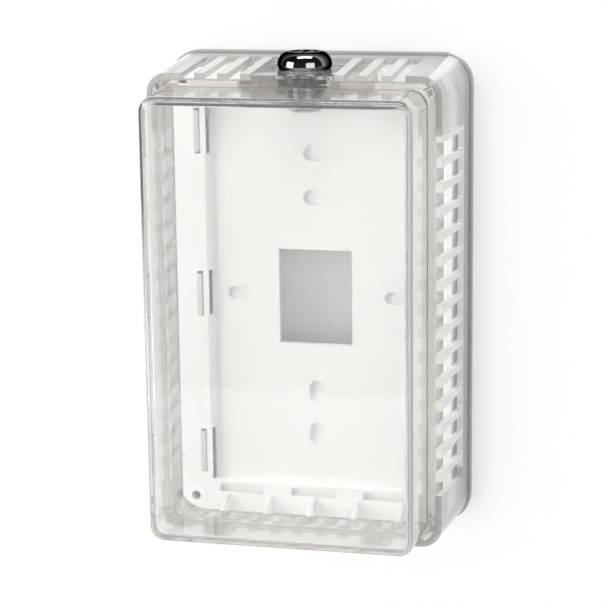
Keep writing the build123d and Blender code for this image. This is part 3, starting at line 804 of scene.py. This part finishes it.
@dataclass(frozen=True)
class Metal:
    """Plated, cast or stamped metal with grain and handling marks, and a painted dark reflection
    towards grazing angles where its share is set.
    """

    name: str
    colour: Colour
    shade: Colour
    rough: Span
    bump: float = 0.05
    marks: float = 0.1
    # Share of the painted dark reflection towards grazing angles.
    painted_dark_rim: float = 0.0
    painted_dark_rim_colour: Colour = (0.02, 0.02, 0.02)
    painted_dark_rim_facing: Span = (0.12, 0.4)
    facing_blend: float = 0.5
    cloud_size: float = 160.0
    grain_size: float = 3000.0
    mark_size: float = 300.0
    mark_rough: float = 0.1
    bump_depth: float = 0.2

    def build(self, effects: Effects) -> bpy.types.Material:
        """Makes the material.

        Args:
            effects: the shared node groups.

        Returns:
            The new material.
        """
        material, graph = new_material(self.name)
        grain = graph.group(
            effects.grain, Cloud_size=self.cloud_size, Grain_size=self.grain_size
        ).outputs
        marks = graph.group(effects.scratches, Size=self.mark_size, Share=self.marks)
        cloud = graph.ramp(grain["Cloud"], NOISE_MIDDLE)
        colour = graph.mix_colour(cloud, rgba(self.colour), rgba(self.shade))
        # Painted dark reflection: towards grazing angles the colour darkens and the edge reflection
        # dims.
        facing = graph.node("LayerWeight", Blend=self.facing_blend).outputs["Facing"]
        dark = graph.ramp(facing, self.painted_dark_rim_facing, (0.0, self.painted_dark_rim))
        colour = graph.mix_colour(dark, colour, rgba(self.painted_dark_rim_colour))
        rough = graph.ramp(grain["Grain"], NOISE_MIDDLE, self.rough)
        worn = graph.product(marks.outputs["Marks"], self.mark_rough)
        bump = graph.node(
            "Bump", Height=grain["Grain"], Strength=self.bump, Distance=self.bump_depth * MM
        )
        shader = graph.node(
            "BsdfPrincipled",
            Base_Color=colour,
            Roughness=graph.math("ADD", rough, worn),
            Metallic=1.0,
            Specular_Tint=grey(1.0 - self.painted_dark_rim),
            Normal=bump.outputs[0],
        )
        graph.node("OutputMaterial", Surface=shader.outputs[0])
        return material


def build_finishes(effects: Effects) -> dict[Finish, bpy.types.Material]:
    """Builds the material of each finish.

    Args:
        effects: the shared node groups.

    Returns:
        The material of each finish.
    """
    makers = {
        Finish.CLEAR_RING: ClearPlastic(
            Finish.CLEAR_RING.value,
            wall=(0.76, 0.745, 0.73),
            shade=(0.68, 0.66, 0.645),
            root=(0.54, 0.53, 0.515),
            painted_skirt_shade=(0.76, 0.745, 0.73),
            painted_shade_share=0.85,
            clarity=0.78,
            milk_share=0.68,
        ),
        Finish.CLEAR_COVER: ClearPlastic(Finish.CLEAR_COVER.value),
        Finish.WHITE: WhitePlastic(Finish.WHITE.value),
        Finish.CHROME: Metal(
            Finish.CHROME.value,
            colour=(0.4, 0.4, 0.405),
            shade=(0.36, 0.36, 0.365),
            rough=(0.03, 0.06),
            bump=0.01,
            marks=0.05,
            painted_dark_rim=0.92,
        ),
        Finish.CAST_ZINC: Metal(
            Finish.CAST_ZINC.value,
            colour=(0.55, 0.55, 0.56),
            shade=(0.42, 0.42, 0.43),
            rough=(0.3, 0.45),
        ),
        Finish.PLATED_STEEL: Metal(
            Finish.PLATED_STEEL.value,
            colour=(0.62, 0.62, 0.63),
            shade=(0.5, 0.5, 0.5),
            rough=(0.2, 0.35),
        ),
        Finish.DARK_STEEL: Metal(
            Finish.DARK_STEEL.value,
            colour=(0.13, 0.13, 0.135),
            shade=(0.08, 0.08, 0.085),
            rough=(0.28, 0.42),
        ),
        Finish.SPRING_STEEL: Metal(
            Finish.SPRING_STEEL.value,
            colour=(0.4, 0.4, 0.42),
            shade=(0.3, 0.3, 0.31),
            rough=(0.25, 0.4),
        ),
        Finish.BRASS: Metal(
            Finish.BRASS.value,
            colour=(0.78, 0.6, 0.28),
            shade=(0.62, 0.45, 0.2),
            rough=(0.2, 0.35),
        ),
    }
    return {finish: maker.build(effects) for finish, maker in makers.items()}


@dataclass
class PhotoCamera:
    """The camera at the photograph's place, as fitted to the outlines of the object."""

    lens: float = 123.94
    sensor: float = 36.0
    near: float = 10.0
    aim: Triple = (-8.4, 0.0, -8.1)
    distance: float = 885.3
    yaw: float = 13.69
    pitch: float = 12.71
    roll: float = 0.74

    def build(self) -> bpy.types.Object:
        """Makes the scene's camera.

        Returns:
            The camera object.
        """
        yaw, pitch, roll = (math.radians(angle) for angle in (self.yaw, self.pitch, self.roll))
        back = Vector(
            (
                math.sin(yaw) * math.cos(pitch),
                -math.cos(yaw) * math.cos(pitch),
                math.sin(pitch),
            )
        )
        level = Vector((math.cos(yaw), math.sin(yaw), 0.0))
        upright = back.cross(level)
        right = math.cos(roll) * level - math.sin(roll) * upright
        up = math.sin(roll) * level + math.cos(roll) * upright
        eye = (Vector(self.aim) + back * self.distance) * MM
        data = bpy.data.cameras.new("photo_camera")
        data.lens = self.lens
        data.sensor_width = self.sensor
        data.clip_start = self.near * MM
        made = bpy.data.objects.new("photo_camera", data)
        turn = Matrix((right, up, back)).transposed().to_4x4()
        made.matrix_world = Matrix.Translation(eye) @ turn
        bpy.context.scene.collection.objects.link(made)
        bpy.context.scene.camera = made
        return made


@dataclass(frozen=True)
class SoftLamp:
    """A rectangular soft lamp: its middle, the point it aims at, its size and its watts."""

    name: str
    place: Triple
    aim: Triple
    size: Pair
    power: float

    def build(self) -> bpy.types.Object:
        """Adds the lamp to the scene.

        Returns:
            The lamp object.
        """
        data = bpy.data.lights.new(self.name, "AREA")
        data.shape = "RECTANGLE"
        data.size, data.size_y = (side * MM for side in self.size)
        data.energy = self.power
        made = bpy.data.objects.new(self.name, data)
        start, end = Vector(self.place) * MM, Vector(self.aim) * MM
        made.location = start
        made.rotation_euler = (end - start).to_track_quat("-Z", "Y").to_euler()
        bpy.context.scene.collection.objects.link(made)
        return made


@dataclass
class Studio:
    """Wall, floor, lamps and world round the object."""

    wall_gap: float = 0.4
    wall_half: float = 1500.0
    floor_height: float = -420.0
    paper_white: float = 0.9
    glow_share: float = 0.71
    glow_level: float = 1.06
    # A painted shadow on the wall behind the object: its middle, half sizes, soft edge and depth.
    shade_middle: Pair = (3.0, -2.0)
    shade_half: Pair = (61.0, 94.0)
    shade_soft: float = 10.0
    shade_share: float = 0.85
    sky_height: Span = (-0.5, 0.6)
    sky_level: Span = (1.0, 0.45)
    room: float = 0.26
    gloss_room: float = 0.05
    through_room: float = 0.3
    camera_room: float = 1.0
    lamps: tuple[SoftLamp, ...] = (
        SoftLamp("left_softbox", (-867, -677, 120), (0, -40, 0), (630, 900), 7.1),
        SoftLamp("right_softbox", (647, -890, 120), (0, -40, 0), (700, 900), 3.8),
        SoftLamp("top_bar", (60, -260, 900), (0, -40, 60), (700, 240), 4.5),
    )

    def build(self) -> None:
        """Makes the stage, the lamps and the world."""
        paper = self._paper()
        half, gap, low = self.wall_half, self.wall_gap, self.floor_height
        wall = self._sheet(
            "backdrop_wall",
            [(-half, gap, -half), (half, gap, -half), (half, gap, half), (-half, gap, half)],
            paper,
        )
        floor = self._sheet(
            "backdrop_floor",
            [(-half, -half, low), (half, -half, low), (half, half, low), (-half, half, low)],
            paper,
        )
        for lamp in self.lamps:
            lamp.build()
            LOG.info("added %s", lamp.name)
        self._world()

    @staticmethod
    def _sheet(
        name: str, corners: list[Triple], material: bpy.types.Material
    ) -> bpy.types.Object:
        """Makes a flat sheet.

        Args:
            name: the name of the object.
            corners: its four corners in turn.
            material: the sheet's material.

        Returns:
            The new object.
        """
        mesh = bpy.data.meshes.new(name)
        mesh.from_pydata([Vector(corner) * MM for corner in corners], [], [(0, 1, 2, 3)])
        mesh.materials.append(material)
        made = bpy.data.objects.new(name, mesh)
        bpy.context.scene.collection.objects.link(made)
        return made

    def _paper(self) -> bpy.types.Material:
        """Makes white paper that glows for the camera, glass and metal, keeps shadows and has a
        painted shadow behind the object.

        Returns:
            The material of wall and floor.
        """
        material, graph = new_material("white_paper")
        matte = graph.node("BsdfDiffuse", Color=grey(self.paper_white))
        glow = graph.node("Emission", Color=rgba(WHITE), Strength=self.glow_level)
        clear = graph.node("BsdfTransparent")
        ray = graph.node("LightPath").outputs
        seen = graph.largest(
            ray["Is Camera Ray"], ray["Is Glossy Ray"], ray["Is Transmission Ray"]
        )
        share = graph.product(seen, self.glow_share, self._glow_outside_painted_shadow(graph))
        front = graph.node("MixShader", i0=share, i1=matte.outputs[0], i2=glow.outputs[0])
        behind = graph.node("NewGeometry").outputs["Backfacing"]
        whole = graph.node("MixShader", i0=behind, i1=front.outputs[0], i2=clear.outputs[0])
        graph.node("OutputMaterial", Surface=whole.outputs[0])
        return material

    def _glow_outside_painted_shadow(self, graph: Graph) -> Socket:
        """Finds how much of the wall's glow is left: less of it right behind the object, where a
        shadow is painted.

        Args:
            graph: the graph of the paper.

        Returns:
            The share that is left.
        """
        spot = Spot(graph)
        sides = []
        for axis, middle, half in zip((Axis.X, Axis.Z), self.shade_middle, self.shade_half):
            edge = (half - self.shade_soft, half + self.shade_soft)
            sides.append(spot.beside(axis, edge, FALL, middle))
        painted_shadow = graph.product(*sides, self.shade_share)
        return graph.math("SUBTRACT", 1.0, painted_shadow)

    def _world(self) -> None:
        """Makes a world that is white to the camera, dim to gloss and a soft room to the rest."""
        world = bpy.data.worlds.new("studio")
        bpy.context.scene.world = world
        world.use_nodes = True
        graph = Graph(world.node_tree)
        place = graph.node("TexCoord").outputs["Generated"]
        height = graph.node("SeparateXYZ", Vector=place).outputs[Axis.Z.value]
        level = graph.ramp(height, self.sky_height, self.sky_level)
        sky = graph.mix_colour(level, rgba(BLACK), rgba(WHITE))
        path = graph.node("LightPath")
        mixed = graph.node("Background", Color=sky, Strength=self.room)
        for ray, colour, strength in (
            ("Glossy", sky, self.gloss_room),
            ("Transmission", sky, self.through_room),
            ("Camera", rgba(WHITE), self.camera_room),
        ):
            lit = graph.node("Background", Color=colour, Strength=strength)
            seen = path.outputs[f"Is {ray} Ray"]
            mixed = graph.node("MixShader", i0=seen, i1=mixed.outputs[0], i2=lit.outputs[0])
        graph.node("OutputWorld", Surface=mixed.outputs[0])


@dataclass
class Frame:
    """The CAD nodes that stay, with softened edges and their finishes."""

    bevel: float = 0.3
    bevel_angle: float = 35.0
    bevel_steps: int = 2
    sharp_nodes: tuple[str, ...] = ("tumbler_springs",)

    def dress(self, finishes: dict[Finish, bpy.types.Material]) -> None:
        """Gives each CAD node its finish and rounds its edges.

        Args:
            finishes: the material of each finish.
        """
        for name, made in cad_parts.items():
            made.data.materials.clear()
            made.data.materials.append(finishes[FINISH_OF_NODE[name]])
            if name not in self.sharp_nodes:
                self._soften(made)
            LOG.info("dressed %s", name)

    def _soften(self, made: bpy.types.Object) -> None:
        """Rounds the edges of one node a little, so that they catch light.

        Args:
            made: the node's object.
        """
        bevel = made.modifiers.new("soft_edges", "BEVEL")
        bevel.width = self.bevel * MM
        bevel.segments = self.bevel_steps
        bevel.limit_method = "ANGLE"
        bevel.angle_limit = math.radians(self.bevel_angle)
        bevel.use_clamp_overlap = True
        bevel.harden_normals = False


def main() -> None:
    """Builds the scene in order."""
    logging.basicConfig(level=logging.INFO)
    bpy.context.scene.view_settings.view_transform = "Standard"
    PhotoCamera().build()
    Studio().build()
    finishes = build_finishes(Effects())
    Frame().dress(finishes)


if __name__ == "__main__":
    main()
